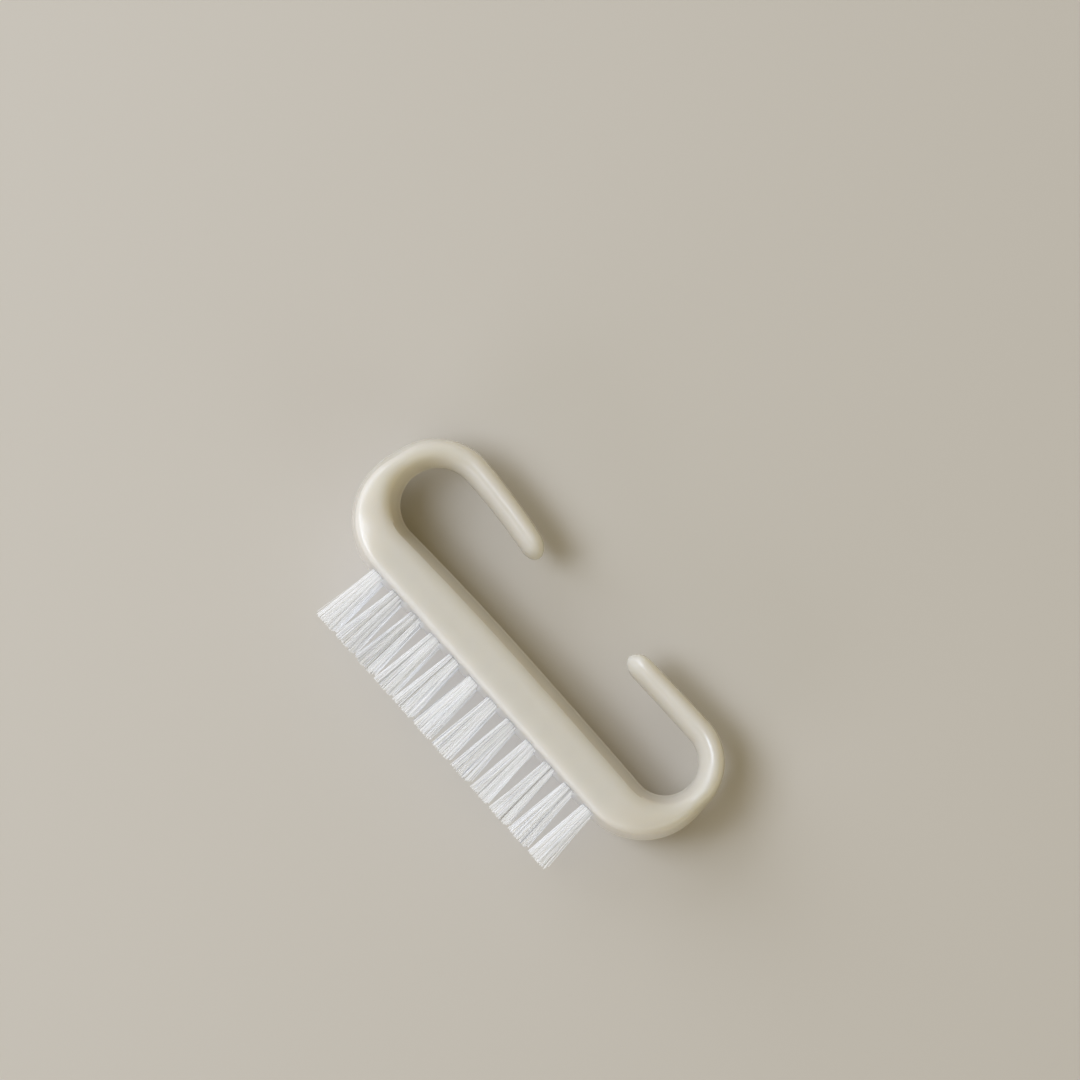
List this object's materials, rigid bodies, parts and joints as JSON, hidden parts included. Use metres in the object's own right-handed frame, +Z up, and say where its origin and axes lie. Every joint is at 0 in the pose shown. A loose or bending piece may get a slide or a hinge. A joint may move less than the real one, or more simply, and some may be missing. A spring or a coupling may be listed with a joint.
{
  "type": "nail brush",
  "caption": "Moulded nail brush with a flat tuft plate that curls up at both ends into hooked finger handles with open tips.",
  "frame": {"origin": "middle of the bounding box, on the surface the brush lies on", "axes": "+X along the brush towards the smaller hook, +Y from the bristle tips to the handles, +Z up from the side face it lies on"},
  "size_m": [0.1004, 0.0482, 0.022],
  "materials": {
    "body_plastic": "injection-moulded polypropylene, ivory, satin gloss",
    "bristle_nylon": "drawn nylon monofilament, translucent white",
    "anchor_wire": "flat rolled steel wire, cut to length"
  },
  "bodies": {
    "root": {"body": "body_plastic", "tuft_a01": "bristle_nylon", "tuft_a02": "bristle_nylon", "tuft_a03": "bristle_nylon", "tuft_a04": "bristle_nylon", "tuft_a05": "bristle_nylon", "tuft_a06": "bristle_nylon", "tuft_a07": "bristle_nylon", "tuft_a08": "bristle_nylon", "tuft_a09": "bristle_nylon", "tuft_a10": "bristle_nylon", "tuft_a11": "bristle_nylon", "tuft_a12": "bristle_nylon", "tuft_b01": "bristle_nylon", "tuft_b02": "bristle_nylon", "tuft_b03": "bristle_nylon", "tuft_b04": "bristle_nylon", "tuft_b05": "bristle_nylon", "tuft_b06": "bristle_nylon", "tuft_b07": "bristle_nylon", "tuft_b08": "bristle_nylon", "tuft_b09": "bristle_nylon", "tuft_b10": "bristle_nylon", "tuft_b11": "bristle_nylon", "tuft_b12": "bristle_nylon", "tuft_c01": "bristle_nylon", "tuft_c02": "bristle_nylon", "tuft_c03": "bristle_nylon", "tuft_c04": "bristle_nylon", "tuft_c05": "bristle_nylon", "tuft_c06": "bristle_nylon", "tuft_c07": "bristle_nylon", "tuft_c08": "bristle_nylon", "tuft_c09": "bristle_nylon", "tuft_c10": "bristle_nylon", "tuft_c11": "bristle_nylon", "tuft_c12": "bristle_nylon", "anchors_a": "anchor_wire", "anchors_b": "anchor_wire", "anchors_c": "anchor_wire"}
  },
  "joints": []
}
